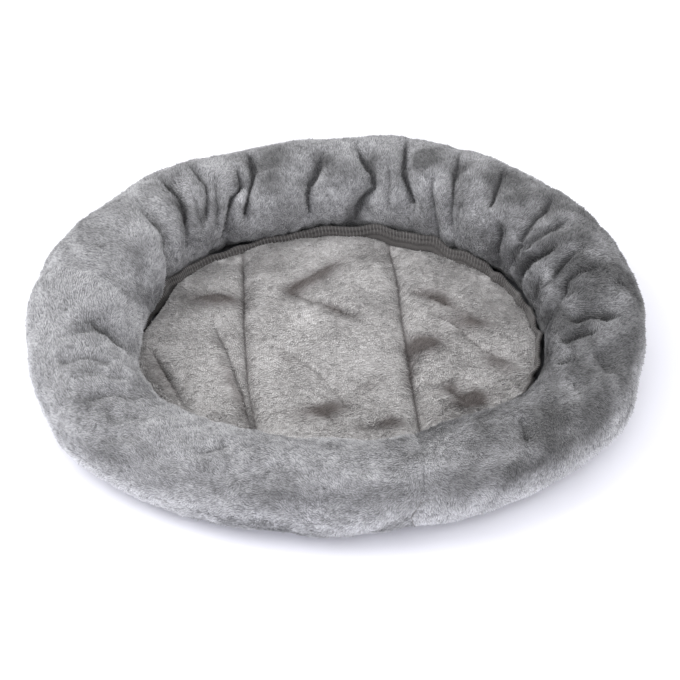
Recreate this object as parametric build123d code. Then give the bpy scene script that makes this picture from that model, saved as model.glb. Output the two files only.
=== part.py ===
from build123d import *
import os
from math import atan2, cos, degrees, hypot, radians, sin, sqrt

# An oval plush bed for a small pet. A stuffed bolster runs all round a quilted base, and an
# underside panel closes the bed below. Millimetres, +X along the long side, +Y to the back,
# +Z up, and the origin on the floor at the middle of the bed.

# Overall sizes
overall_length = 600.0
overall_width = 530.0
overall_height = 88.0
end_flattening = 21.0  # how much smaller the end arcs' radius is than half of the width

# Bolster
bolster_width = 104.0  # across the stuffed tube
bolster_roundness = 41.0  # corner radius of the tube's section
bolster_cover_thickness = 2.6  # knitted backing with its pile pressed down
left_seam_heading = 177.0  # where the cover's two strips join, as degrees round the oval
front_seam_heading = 286.5

# Base
base_height = 19.0  # from the floor to the crown of the quilted base
base_cover_thickness = 2.5
channel_rounding = 8.0  # rounding along the top of each stuffed channel
quilt_spacing = 154.0  # from one quilting seam to the other
quilt_offset = -7.0  # the middle of the two seams, along X
quilt_lean = 5.0  # degrees that the seams are turned from the front-to-back line
quilt_valley = 7.0  # clear width of the valley at a quilting seam
underside_thickness = 1.2
underside_reach = 20.0  # how far the underside runs out past the bolster's middle line

# Seams
allowance_thickness = 3.0  # the two overlocked raw edges, standing between base and bolster
allowance_height = 12.0
allowance_top = 24.0
thread_diameter = 0.9
stitch_length = 4.0
stitch_pitch = 6.5
overlock_pitch = 8.0

# Clearances
ply_gap = 0.2  # between layers of cloth and filling that lie on each other
wall_clearance = 0.4  # between the seam allowance and the bolster

# The bolster's middle line is an oval of four tangent arcs
half_length = (overall_length - bolster_width) / 2
half_width = (overall_width - bolster_width) / 2
end_radius = half_width - end_flattening
end_centre = half_length - end_radius
side_centre = (end_centre**2 - end_flattening**2) / (2 * end_flattening)
side_radius = half_width + side_centre
end_turn = degrees(atan2(side_centre, end_centre))

# Heights
floor_ply = underside_thickness + ply_gap  # what lies on the underside starts here
tube_height = overall_height - floor_ply
tube_radius = min(bolster_roundness, 0.48 * tube_height, 0.48 * bolster_width)


def oval_arcs():
    """Centre, radius, first heading and last heading of each arc, anticlockwise."""
    return [
        (end_centre, 0, end_radius, -end_turn, end_turn),
        (0, -side_centre, side_radius, end_turn, 180 - end_turn),
        (-end_centre, 0, end_radius, 180 - end_turn, 180 + end_turn),
        (0, side_centre, side_radius, 180 + end_turn, 360 - end_turn),
    ]


def oval_face(offset):
    """The area inside the oval that runs this far outside the bolster's middle line."""
    edges = [
        CenterArc((x, y), radius + offset, first, last - first)
        for x, y, radius, first, last in oval_arcs()
    ]
    return make_face(edges)


def oval_point(heading, offset):
    """A point of that oval, found from the direction in which the oval faces there."""
    for x, y, radius, first, last in oval_arcs():
        if first <= heading <= last:
            reach = radius + offset
            return x + reach * cos(radians(heading)), y + reach * sin(radians(heading))
    return oval_point(heading - 360, offset)


def depth_inside(x, y):
    """How far a point lies inside the bolster's middle line."""
    along, across = abs(x), abs(y)
    if degrees(atan2(across, along - end_centre)) < end_turn:
        return end_radius - hypot(along - end_centre, across)
    return side_radius - hypot(along, across + side_centre)


def swept(section, start, stop):
    """Sweeps a section, drawn about the middle line, from one heading to another."""
    pieces = []
    for lap in (0, 360):
        for x, y, radius, first, last in oval_arcs():
            begin = max(first + lap, start)
            end = min(last + lap, stop)
            if end - begin < 1e-6:
                continue
            spin = Rot(0, 0, begin)
            profile = Plane.XZ * Pos(radius, 0) * section
            pieces.append(Pos(x, y) * spin * revolve(profile, Axis.Z, end - begin))
    return pieces[0].fuse(*pieces[1:]) if len(pieces) > 1 else pieces[0]


def ring(section):
    """Sweeps a section once round the oval."""
    return swept(section, -end_turn, 360 - end_turn)


def tube_section(inset):
    """The bolster's section, this far in from its outer face."""
    middle = floor_ply + tube_height / 2
    width = bolster_width - 2 * inset
    height = tube_height - 2 * inset
    return Pos(0, middle) * RectangleRounded(width, height, tube_radius - inset)


def inner_wall(height):
    """Where the bolster's inner face stands at a height below its corner's centre."""
    drop = floor_ply + tube_radius - height
    return -(bolster_width / 2 - tube_radius) - sqrt(tube_radius**2 - max(drop, 0) ** 2)


# The seam allowance stands just clear of the bolster, and the base ends just inside it
allowance_outer = inner_wall(allowance_top + thread_diameter) - wall_clearance
base_edge = allowance_outer - allowance_thickness - ply_gap


def joint_angle(radius):
    """Half of the angle that a thread takes up between the strips, on the tube's inner side."""
    return degrees((thread_diameter / 2 + ply_gap) / (radius - bolster_width / 2))


def bolster_cover_front():
    section = tube_section(0) - tube_section(bolster_cover_thickness)
    start = left_seam_heading + joint_angle(end_radius)
    return swept(section, start, front_seam_heading - joint_angle(side_radius))


def bolster_cover_back():
    section = tube_section(0) - tube_section(bolster_cover_thickness)
    start = front_seam_heading + joint_angle(side_radius)
    return swept(section, start, 360 + left_seam_heading - joint_angle(end_radius))


def bolster_filling():
    return ring(tube_section(bolster_cover_thickness + ply_gap))


def cover_seam_thread(heading):
    """The line of stitches that joins the two strips, as one loop round the tube."""
    middle = bolster_cover_thickness / 2
    half = thread_diameter / 2
    loop = tube_section(middle - half) - tube_section(middle + half)
    face = Plane.XZ * loop
    x, y = oval_point(heading, 0)
    return Pos(x, y) * Rot(0, 0, heading) * extrude(face, half, both=True)


def channel_face(index, inset):
    """The plan of one stuffed channel of the base: 0 left, 1 centre, 2 right."""
    far = overall_length
    left_seam = quilt_offset - quilt_spacing / 2
    right_seam = quilt_offset + quilt_spacing / 2
    edges = [-far, left_seam, right_seam, far]
    start = edges[index] + quilt_valley / 2 + inset
    stop = edges[index + 1] - quilt_valley / 2 - inset
    band = Pos((start + stop) / 2, 0) * Rectangle(stop - start, 2 * far)
    return oval_face(base_edge - inset) & Rot(0, 0, quilt_lean) * band


def channel_solid(index, inset, bottom):
    """One channel, standing on a height, with its top edge rounded."""
    top = base_height - inset
    body = Pos(0, 0, bottom) * extrude(channel_face(index, inset), top - bottom)
    rim = body.edges().group_by(Axis.Z)[-1]
    return fillet(rim, channel_rounding - inset)


def base_top_cover():
    """A plush sheet, domed over the three channels and flat along the two seams."""
    cover = Pos(0, 0, floor_ply) * extrude(oval_face(base_edge), base_cover_thickness)
    for index in range(3):
        cover += channel_solid(index, 0, floor_ply)
    for index in range(3):
        cover -= channel_solid(index, base_cover_thickness, 0)
    return cover


def base_filling(index):
    return channel_solid(index, base_cover_thickness + ply_gap, floor_ply)


def base_underside():
    return extrude(oval_face(underside_reach), underside_thickness)


def underside_seam_thread():
    """The thread that whips the underside's edge to the bolster."""
    offset = underside_reach + ply_gap + thread_diameter / 2
    height = underside_thickness / 2
    return ring(Pos(offset, height) * Circle(thread_diameter / 2))


def stitch():
    return Rot(90, 0, 0) * Cylinder(thread_diameter / 2, stitch_length)


def quilt_stitching(side):
    """A row of stitches along the valley of one seam: side is -1 for left, 1 for right."""
    height = floor_ply + base_cover_thickness + thread_diameter / 2 + ply_gap
    row = Rot(0, 0, quilt_lean) * Pos(quilt_offset + side * quilt_spacing / 2, 0, height)
    count = int(half_width / stitch_pitch)
    stitches = []
    for step in range(-count, count + 1):
        place = row * Pos(0, step * stitch_pitch, 0)
        spot = place.position
        if depth_inside(spot.X, spot.Y) > -base_edge + stitch_length:
            stitches.append(place * stitch())
    return Compound(children=stitches)


def seam_allowance():
    """The overlocked edges of the base and of the bolster cover, standing up all round."""
    middle = allowance_outer - allowance_thickness / 2
    band = Rectangle(allowance_thickness, allowance_height)
    return ring(Pos(middle, allowance_top - allowance_height / 2) * band)


def overlock_stitching():
    """Thread bars over the top edge of the seam allowance."""
    middle = allowance_outer - allowance_thickness / 2
    height = allowance_top + thread_diameter / 2
    bar = Rot(0, 90, 0) * Cylinder(thread_diameter / 2 - ply_gap / 2, allowance_thickness)
    bars = []
    for x, y, radius, first, last in oval_arcs():
        reach = radius + middle
        count = round(radians(last - first) * reach / overlock_pitch)
        for step in range(count):
            heading = first + (last - first) * (step + 0.5) / count
            spot_x, spot_y = oval_point(heading, middle)
            bars.append(Pos(spot_x, spot_y, height) * Rot(0, 0, heading) * bar)
    return Compound(children=bars)


nodes = {
    "bolster_cover_front": bolster_cover_front(),
    "bolster_cover_back": bolster_cover_back(),
    "bolster_filling": bolster_filling(),
    "cover_seam_thread_left": cover_seam_thread(left_seam_heading),
    "cover_seam_thread_front": cover_seam_thread(front_seam_heading),
    "base_top_cover": base_top_cover(),
    "base_filling_left": base_filling(0),
    "base_filling_centre": base_filling(1),
    "base_filling_right": base_filling(2),
    "base_underside": base_underside(),
    "underside_seam_thread": underside_seam_thread(),
    "quilt_stitching_left": quilt_stitching(-1),
    "quilt_stitching_right": quilt_stitching(1),
    "seam_allowance": seam_allowance(),
    "overlock_stitching": overlock_stitching(),
}

os.makedirs("parts", exist_ok=True)
for name, shape in nodes.items():
    export_step(shape, f"parts/{name}.step")
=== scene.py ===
# %% [markdown]
# # A plush oval bed for a small pet
# The bed is a stuffed ring of gray plush round a flat, quilted base. The CAD model gives every
# piece its place, and this lesson gives the soft ones their looks: full cloth, gathers where the
# ring is sewn to the base, and a pile of short soft hairs.

# %% Load the frame
import math

import bmesh
import bpy
import numpy as np
from mathutils import Matrix, Vector


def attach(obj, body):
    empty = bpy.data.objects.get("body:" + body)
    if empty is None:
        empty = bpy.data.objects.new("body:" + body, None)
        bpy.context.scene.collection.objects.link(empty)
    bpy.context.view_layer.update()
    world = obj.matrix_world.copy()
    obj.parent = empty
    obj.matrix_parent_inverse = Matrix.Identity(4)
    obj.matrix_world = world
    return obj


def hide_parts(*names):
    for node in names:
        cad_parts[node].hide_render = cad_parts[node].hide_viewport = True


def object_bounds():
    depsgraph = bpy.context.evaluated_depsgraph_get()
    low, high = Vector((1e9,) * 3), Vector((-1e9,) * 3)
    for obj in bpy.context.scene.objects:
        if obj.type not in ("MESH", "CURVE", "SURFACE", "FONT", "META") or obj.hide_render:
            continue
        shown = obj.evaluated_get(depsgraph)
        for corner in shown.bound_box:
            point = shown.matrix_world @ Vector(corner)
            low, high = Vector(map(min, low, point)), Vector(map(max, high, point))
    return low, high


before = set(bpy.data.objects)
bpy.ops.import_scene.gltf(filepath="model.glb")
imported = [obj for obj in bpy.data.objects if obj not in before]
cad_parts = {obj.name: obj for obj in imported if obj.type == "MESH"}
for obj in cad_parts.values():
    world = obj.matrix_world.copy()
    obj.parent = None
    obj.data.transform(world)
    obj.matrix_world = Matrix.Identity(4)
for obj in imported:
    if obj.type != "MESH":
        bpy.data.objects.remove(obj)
cad_box = [list(corner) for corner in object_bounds()]
print("CAD box", cad_box)

# %% [markdown]
# ## The oval
# The middle line of the ring is four tangent arcs, so a place on the ring is a heading round the
# oval and an angle round the stuffed tube. Numpy works on whole lists of points at once, which
# is much quicker than a loop over a quarter of a million vertices.

# %% The middle line of the ring
BOLSTER_WIDTH = 0.104
END_FLATTENING = 0.021
FLOOR_PLY = 0.0016  # the underside lies between the ring and the floor
half_length = cad_box[1][0] - BOLSTER_WIDTH / 2
half_width = cad_box[1][1] - BOLSTER_WIDTH / 2
end_radius = half_width - END_FLATTENING
end_centre = half_length - end_radius
side_centre = (end_centre**2 - END_FLATTENING**2) / (2 * END_FLATTENING)
side_radius = half_width + side_centre
end_turn = math.atan2(side_centre, end_centre)


def oval_centres(out):
    """The arc's centre and radius for directions in which the oval faces."""
    on_end = np.abs(out[..., 1]) < math.sin(end_turn)
    x = np.where(on_end, end_centre * np.sign(out[..., 0]), 0)
    y = np.where(on_end, 0, -side_centre * np.sign(out[..., 1]))
    return np.stack([x, y], -1), np.where(on_end, end_radius, side_radius)


def heading_and_offset(points):
    """For points in plan, the heading round the oval and how far they lie outside its line."""
    x, y = points[..., 0], points[..., 1]
    on_end = np.arctan2(np.abs(y), np.abs(x) - end_centre) < end_turn
    dx = np.where(on_end, x - end_centre * np.sign(x), x)
    dy = np.where(on_end, y, y + side_centre * np.sign(y))
    radius = np.where(on_end, end_radius, side_radius)
    return np.arctan2(dy, dx) % (2 * math.pi), np.hypot(dx, dy) - radius


# %% [markdown]
# ## The shape of the stuffed tube
# The filling isn't even: the tube is widest at the left end, and lowest along the front, where
# the owner's hands press it down. A few sizes by heading are enough, with smooth curves between.

# %% Width and height of the tube
TUBE_SIZES = [  # heading in degrees, then half width, top and outer inset in millimetres
    (0, 53, 86, 0), (25, 54, 89, 0), (40, 54, 93, 0), (58, 53, 97, 0), (80, 53, 95, 0),
    (94, 53, 90, 0), (106, 53, 83, 0), (120, 53, 86, 0), (147, 61, 93, 0), (160, 61, 91, 0),
    (180, 60, 89, 0), (198, 54, 85, 0), (213, 51, 80, -3), (232, 49, 69, -7), (252, 48, 72, 7),
    (272, 48, 75, 4), (295, 49, 75, 1), (315, 44, 70, 0), (333, 46, 75, 0),
]


def smooth_by_heading(heading, column, rows=None):
    """A periodic curve through one column of a table by heading, in metres."""
    table = np.array(rows or TUBE_SIZES, float)
    places = np.radians(np.concatenate([table[-3:, 0] - 360, table[:, 0], table[:3, 0] + 360]))
    values = np.concatenate([table[-3:, column], table[:, column], table[:3, column]])
    fine = np.linspace(-0.6, 2 * math.pi + 0.6, 720)
    line = np.interp(fine, places, values)
    width = np.hanning(61)
    line = np.convolve(np.pad(line, 30, "edge"), width / width.sum(), "valid")
    return np.interp(heading, fine, line) / 1000


# %% [markdown]
# ## The sewn line
# The raw edges stand up as a band between ring and base. It climbs the wall at the back and drops
# at both sides, so it has its own table by heading, and the ring and the base both read it.

# %% Where the ring is sewn to the base
# The band of sewn edges climbs the wall at the back and drops again at both sides.
BAND = [  # heading, then the band's top in mm, its lean outwards in degrees, the base's inset in mm
    (0, 23, 24, 51.5), (20, 22, 22, 52), (38, 20, 15, 52), (44, 25, 25, 52), (56, 27, 35, 52),
    (66, 30, 30, 52), (80, 30, 12, 51.5), (92, 26, 8, 51.5), (100, 21, 6, 51.5),
    (112, 18, 8, 51.5), (125, 20, 8, 52), (140, 23, 20, 54),
    (152, 19, 25, 66), (164, 18, 25, 66), (182, 21, 15, 53), (220, 17, 8, 51.5), (270, 16, 8, 51.5),
    (320, 17, 8, 51.5), (345, 21, 15, 51.5),
]


def edge_inset(heading):
    """How far inside the middle line the base ends."""
    return smooth_by_heading(heading, 3, BAND)


PILE_STAND = 0.0026  # how far the pile stands off the cloth


def body_half(heading):
    """Half of the tube's width, without its pile."""
    return smooth_by_heading(heading, 1) - PILE_STAND


def body_centre(heading):
    """How far the tube's own centre is outside the middle line."""
    inset = smooth_by_heading(heading, 3) + PILE_STAND
    return BOLSTER_WIDTH / 2 - inset - body_half(heading)


def body_top(heading):
    return smooth_by_heading(heading, 2) - PILE_STAND


def squared(angle, wave):
    """Sine or cosine, swollen so that a circle becomes a fuller, slightly square section."""
    value = wave(angle)
    return np.sign(value) * np.abs(value) ** (2 / 2.3)


def seam_angle(heading):
    """The angle round the tube at which its wall meets the sewn band."""
    top = body_top(heading)
    height = smooth_by_heading(heading, 1, BAND) - 0.003
    drop = ((top + FLOOR_PLY) / 2 - height) / ((top - FLOOR_PLY) / 2)
    return math.pi + np.arcsin(np.clip(drop, 0.02, 0.98) ** 1.15)


BAND_WALL = 0.0472  # the ring's wall stands this far inside the middle line, behind the band


def seam_tuck(heading):
    """How far the wall is drawn out from the middle of the bed, to leave room for the band."""
    half = body_half(heading)
    wall = body_centre(heading) + half * squared(seam_angle(heading), np.cos)
    return np.maximum(-BAND_WALL - wall, 0.0006)


# %% [markdown]
# ## The plain tube
# Before any fold, the cloth is a smooth tube. Its section is a little squarer than a circle, as
# filling pushes cloth into corners. One function gives any point of it, for cloth and threads.

# %% The plain tube
def tube_point(heading, around):
    """Points of the plain tube: around is 0 outside, a quarter turn at the top, then inside."""
    out = np.stack([np.cos(heading), np.sin(heading)], -1)
    centre, radius = oval_centres(out)
    half = body_half(heading)
    top = body_top(heading)
    across = half * squared(around, np.cos)
    up = squared(around, np.sin)
    z = (top + FLOOR_PLY) / 2 + (top - FLOOR_PLY) / 2 * up
    reach = radius + body_centre(heading) + across
    plan = centre + out * reach[..., None]
    return np.concatenate([plan, z[..., None]], -1)


# %% [markdown]
# ## Camera, floor and light
# The camera looks down by 43 degrees from a couple of metres away, with a long lens. A white
# floor, one big soft light at the left and two weaker ones give a product picture's even look.

# %% Camera
TARGET = Vector((0.0035, -0.009, 0.0270))
scene = bpy.context.scene


def add_object(name, data):
    obj = bpy.data.objects.new(name, data)
    scene.collection.objects.link(obj)
    return obj


camera_data = bpy.data.cameras.new("camera")
camera_data.lens = 111.4
camera_data.sensor_width = 36
camera = add_object("camera", camera_data)
tilt = math.radians(43)
camera.location = TARGET + 2.037 * Vector((0, -math.cos(tilt), math.sin(tilt)))
camera.rotation_euler = (math.pi / 2 - tilt, 0, 0)
scene.camera = camera
scene.view_settings.view_transform = "Standard"
print("camera at", [round(value, 3) for value in camera.location])


# %% [markdown]
# ## Small helpers for materials
# Node trees are long to write by hand. Hex colours are turned to linear ones in one place, and
# one function adds any node, so each material below reads as a list of what it is made of.

# %% One helper for colours, one for nodes, one for a new material
def srgb(code):
    """An sRGB hex colour as linear red, green, blue and alpha."""
    parts = [int(code[i:i + 2], 16) / 255 for i in (1, 3, 5)]
    return [c / 12.92 if c <= 0.04045 else ((c + 0.055) / 1.055) ** 2.4 for c in parts] + [1]


def add_node(tree, kind, settings=None, links=None):
    """Adds a node. Settings are attributes or socket values, and links are socket: output."""
    node = tree.nodes.new(kind)
    for key, value in (settings or {}).items():
        if isinstance(key, str) and hasattr(node, key):
            setattr(node, key, value)
        else:
            node.inputs[key].default_value = value
    for key, output in (links or {}).items():
        tree.links.new(output, node.inputs[key])
    return node


def new_material(name):
    material = bpy.data.materials.new(name)
    material.use_nodes = True
    material.node_tree.nodes.clear()
    return material, material.node_tree


def finish_material(tree, settings, links):
    shader = add_node(tree, "ShaderNodeBsdfPrincipled", settings, links)
    add_node(tree, "ShaderNodeOutputMaterial", None, {"Surface": shader.outputs[0]})


# %% [markdown]
# ## Floor and lights
# White paper on the floor gives the soft shadow below the bed. Disks of light are used because
# their large size blurs shadows, and each of the three stands where a studio would put a lamp.

# %% Floor and lights
bm = bmesh.new()
bmesh.ops.create_grid(bm, x_segments=1, y_segments=1, size=6)
floor_mesh = bpy.data.meshes.new("floor")
bm.to_mesh(floor_mesh)
bm.free()
floor = add_object("floor", floor_mesh)
paper, tree = new_material("white_paper")
finish_material(tree, {"Base Color": srgb("#f8f8ff"), "Roughness": 0.9}, None)
floor_mesh.materials.append(paper)


def area_light(name, place, size, power, tint):
    data = bpy.data.lights.new(name, "AREA")
    data.shape = "DISK"
    data.size = size
    data.energy = power
    data.color = srgb(tint)[:3]
    light = add_object(name, data)
    light.location = place
    light.rotation_euler = (Vector((0, 0, 0)) - Vector(place)).to_track_quat("-Z", "Y").to_euler()


area_light("key", (-2.2, 0.1, 1.9), 2.0, 45, "#ffffff")
area_light("front_fill", (-0.4, -2.8, 0.5), 2.2, 32, "#f3f3ff")
area_light("right_fill", (2.4, -0.2, 1.6), 2.0, 14, "#ffffff")
world = bpy.data.worlds.new("studio")
scene.world = world
world.use_nodes = True
world.node_tree.nodes["Background"].inputs["Color"].default_value = srgb("#fefeff")
world.node_tree.nodes["Background"].inputs["Strength"].default_value = 1.08

# %% [markdown]
# ## The stuffed ring
# A circle is spun right round into a plain ring, and the ring's points are then put on the
# oval. Each point also keeps its place on the flat cloth, as a UV map: how far along the strip
# it is, and how far across. The folds, the seams and the lie of the pile all use those places.


# %% Points and normals as arrays
def read_array(items, name, width, kind=np.float32):
    """One property of every vertex, edge, face or corner, as rows of this width."""
    flat = np.empty(len(items) * width, kind)
    items.foreach_get(name, flat)
    return flat.reshape(-1, width)


def get_points(mesh):
    return read_array(mesh.vertices, "co", 3).astype(float)


def set_points(mesh, points):
    mesh.vertices.foreach_set("co", points.astype(np.float32).ravel())
    mesh.update()


def get_normals(mesh):
    return read_array(mesh.vertices, "normal", 3).astype(float)


def face_normals(mesh):
    return read_array(mesh.polygons, "normal", 3).astype(float)


def new_mesh(name, bm):
    mesh = bpy.data.meshes.new(name)
    bm.to_mesh(mesh)
    bm.free()
    return mesh


def smooth_random(points, size, seed, waves=32):
    """Smooth random values about zero, in patches of about this size, from a sum of waves."""
    rng = np.random.default_rng(seed)
    directions = rng.normal(size=(waves, points.shape[1]))
    directions /= np.linalg.norm(directions, axis=1)[:, None]
    rates = math.pi / (size * rng.uniform(0.7, 1.7, waves))
    phases = rng.uniform(0, 2 * math.pi, waves)
    total = np.zeros(len(points))
    for direction, rate, phase in zip(directions, rates, phases):
        total += np.sin(points @ direction * rate + phase)
    return total / math.sqrt(waves / 2)


# %% [markdown]
# ## The ring as a mesh
# A spin makes even quads that run round the tube and along it, as the threads of the knit do.
# Equal steps of travel, and not of angle, keep the quads the same size at the ends and sides.

# %% Spin the ring
RING_STEPS = 288
TUBE_STEPS = 60


def travel_table():
    """Headings at even steps, and how far round the oval each one is."""
    headings = np.linspace(0, 2 * math.pi, 1441)
    out = np.stack([np.cos(headings), np.sin(headings)], -1)
    centre, radius = oval_centres(out)
    line = centre + out * radius[:, None]
    steps = np.linalg.norm(np.diff(line, axis=0), axis=1)
    return headings, np.concatenate([[0], np.cumsum(steps)])


headings, travels = travel_table()
lap = travels[-1]


def spun_ring(name):
    """A ring of one metre radius whose tube is a tenth of a metre. The order of its faces can
    differ from run to run, and the pile's random values go by face."""
    bm = bmesh.new()
    bmesh.ops.create_circle(bm, segments=TUBE_STEPS, radius=0.1)
    bmesh.ops.rotate(bm, verts=bm.verts, matrix=Matrix.Rotation(math.pi / 2, 3, "X"))
    bmesh.ops.translate(bm, verts=bm.verts, vec=(1, 0, 0))
    bmesh.ops.spin(bm, geom=bm.verts[:] + bm.edges[:], cent=(0, 0, 0), axis=(0, 0, 1),
                   angle=2 * math.pi, steps=RING_STEPS, use_merge=True)
    bmesh.ops.recalc_face_normals(bm, faces=bm.faces)
    return new_mesh(name, bm)


ring_mesh = spun_ring("bolster")
points = get_points(ring_mesh)
spin_turn = np.arctan2(points[:, 1], points[:, 0]) % (2 * math.pi)
around = np.arctan2(points[:, 2], np.hypot(points[:, 0], points[:, 1]) - 1) % (2 * math.pi)
heading = np.interp(spin_turn / (2 * math.pi) * lap, travels, headings)
set_points(ring_mesh, tube_point(heading, around))
print("middle line", round(lap, 3), "m; ring", len(ring_mesh.polygons), "faces")


# %% [markdown]
# ## The flat cloth
# A cover is cut flat, so its places are kept flat too. A UV map survives subdividing, which is
# why it holds them. The faces that close a round need their shares mended by one whole turn.

# %% Keep the flat cloth's places as a UV map
def loop_vertices(mesh):
    return read_array(mesh.loops, "vertex_index", 1, np.int64).ravel()


def lay_flat(mesh, across, along):
    """Writes shares from 0 to 1 as the UV map, and mends the faces that close a round."""
    corners = loop_vertices(mesh)
    uv = np.stack([across[corners], along[corners]], -1).reshape(-1, 4, 2)
    wrapped = (uv.max(axis=1, keepdims=True) - uv) > 0.5
    uv = uv + wrapped
    layer = mesh.uv_layers.new(name="OFBake")
    layer.uv.foreach_set("vector", uv.astype(np.float32).ravel())


def read_flat(mesh):
    """Each vertex's place on the flat cloth, in shares from 0 to 1."""
    places = np.zeros((len(mesh.vertices), 2))
    places[loop_vertices(mesh)] = read_array(mesh.uv_layers["OFBake"].uv, "vector", 2)
    return places % 1


lay_flat(ring_mesh, spin_turn / (2 * math.pi), around / (2 * math.pi))

# %% [markdown]
# ## Folds
# The cover's lower inner edge is gathered into the base seam, so folds run up the inner wall
# from there. Each one is a short line drawn on the flat cloth. The cloth sinks steeply at the
# line and swells out between lines, which is what stuffing does to gathered cloth.

# %% Folds
FOLDS = [  # depth in mm, breadth in mm, then heading and angle round the tube, in degrees
    (26, 11, [(140, 82), (138.6, 97), (138, 114), (138.6, 132), (141, 150), (144, 172), (147, 195)]),
    (17, 9, [(127, 52), (126.2, 75), (125.6, 92), (126.8, 114), (128, 136), (130.5, 178)]),
    (10, 7, [(120.5, 62), (119.6, 80), (119.4, 96), (120.6, 114), (121.8, 130), (123, 150)]),
    (7, 4, [(117.2, 84), (117.8, 104), (119, 124), (120.2, 150), (121, 175)]),
    (5, 4, [(123.2, 100), (124, 120), (124.8, 140), (125, 160)]),
    (17, 8, [(112.6, 78), (111.8, 94), (112.2, 112), (115, 126), (116.2, 146), (117.5, 172), (119, 200)]),
    (17, 7, [(108.2, 44), (107.4, 62), (107.6, 85), (109.4, 110), (111.2, 135), (112.8, 172)]),
    (14, 8, [(92.3, 80), (93.6, 96), (95.2, 117), (96.6, 136), (97.2, 160), (96.8, 190)]),
    (16, 9, [(86.8, 62), (85.6, 82), (83.6, 100), (81.6, 120), (81.2, 148), (83.9, 176), (85.5, 202)]),
    (6, 4, [(77.8, 112), (77.4, 138), (76.8, 172)]),
    (16, 8, [(76.6, 44), (76.2, 64), (75.6, 88), (75, 106), (74.1, 122), (72.6, 142), (71, 165)]),
    (8, 6, [(67.8, 105), (67, 128), (66, 150), (64.7, 168), (63, 200)]),
    (12, 7, [(65, 58), (64.4, 80), (63, 106), (61.8, 130), (60.8, 152), (60.2, 178)]),
    (6, 4, [(59.6, 128), (58.2, 155), (57.4, 190)]),
    (12, 8, [(56, 56), (54.8, 76), (53.2, 96), (52, 116), (51.2, 140)]),
    (13, 5, [(45.5, 138), (44.4, 165), (43, 205)]),
    (11, 9, [(40.5, 64), (38.6, 88), (37.6, 104), (36.8, 122), (36.2, 142)]),
    (9, 4, [(35, 132), (34.8, 156), (36, 185)]),
    (7, 5, [(31, 74), (30.4, 96), (30.6, 120), (31.5, 142)]),
    (15, 6, [(24.2, 96), (24, 118), (25, 138), (27.2, 156), (29, 176), (30, 200)]),
    (14, 7, [(20.5, 76), (19, 94), (17.8, 108), (15.6, 124), (13.2, 138), (12.6, 160), (13.4, 190)]),
    (15, 7, [(11.6, 66), (11.8, 82), (12, 96), (10, 113), (7, 127), (3.6, 136)]),
    (30, 10, [(9, 112), (5.5, 126), (2.6, 140), (0.5, 152), (-1.5, 166), (-3, 182)]),
    (7, 4, [(17.6, 146), (16.6, 166), (17, 195)]),
    (17, 7, [(-7.2, 66), (-7.2, 84), (-7, 98), (-8.4, 114), (-9.8, 132)]),
    (14, 7, [(-14.6, 86), (-14, 104), (-15.6, 122), (-18, 140)]),
    (12, 7, [(-21.6, 90), (-23.6, 74), (-26, 56)]),
    (8, 6, [(-24.6, 106), (-26, 122), (-27, 138)]),
    (8, 6, [(-33, 100), (-35, 88), (-36, 74)]),
    (12, 7, [(-53, 104), (-54.2, 82), (-55.8, 58)]),
    (8, 8, [(-44, 112), (-46.5, 96), (-48, 80)]),
    (8, 9, [(192, 90), (195.5, 110), (199.5, 130), (203, 156)]),
    (4.5, 8, [(201, 48), (204.5, 66), (206, 88), (210.5, 106), (212, 122)]),
    (3.2, 6, [(211, 78), (212.5, 92), (216.5, 104), (218, 126)]),
    (4.2, 8, [(215, 52), (219, 72), (220.5, 94), (225, 112), (227, 134)]),
    (9, 7, [(223, 68), (228.5, 86), (233.5, 108)]),
    (6, 10, [(228.5, 52), (233.5, 76)]),
    (13, 6, [(244, 72), (247.5, 85), (250.5, 98)]),
    (5, 6, [(238, 100), (241, 88), (246, 74)]),
    (5, 8, [(259, 86), (262, 70), (262, 52)]),
    (4, 7, [(196, 60), (196.5, 82), (197, 104)]),
    (4, 8, [(158, 60), (160, 84), (160, 110)]),
    (5, 7, [(275, 96), (276, 80), (275, 62)]),
    (5, 9, [(268, 40), (270, 22), (269, 6)]),
]


def distance_to_path(places, path):
    """How far places are from a broken line, and how far along it the nearest point is."""
    best = np.full(len(places), 1e9)
    along = np.zeros(len(places))
    lengths = np.linalg.norm(np.diff(path, axis=0), axis=1)
    starts = np.concatenate([[0], np.cumsum(lengths)])
    for start, stop, done, length in zip(path, path[1:], starts, lengths):
        leg = stop - start
        share = np.clip(((places - start) @ leg) / length**2, 0, 1)
        gap = np.linalg.norm(places - start - share[:, None] * leg, axis=1)
        nearer = gap < best
        best = np.where(nearer, gap, best)
        along = np.where(nearer, (done + share * length) / starts[-1], along)
    return best, along


TUBE_RADIUS = 0.049


def unrolled(heading, around):
    """The cloth laid flat: how far round the oval, and how far round the tube, in metres."""
    travel = np.interp(np.asarray(heading) % (2 * math.pi), headings, travels)
    return np.stack([travel, np.asarray(around) * TUBE_RADIUS], -1)


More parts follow.
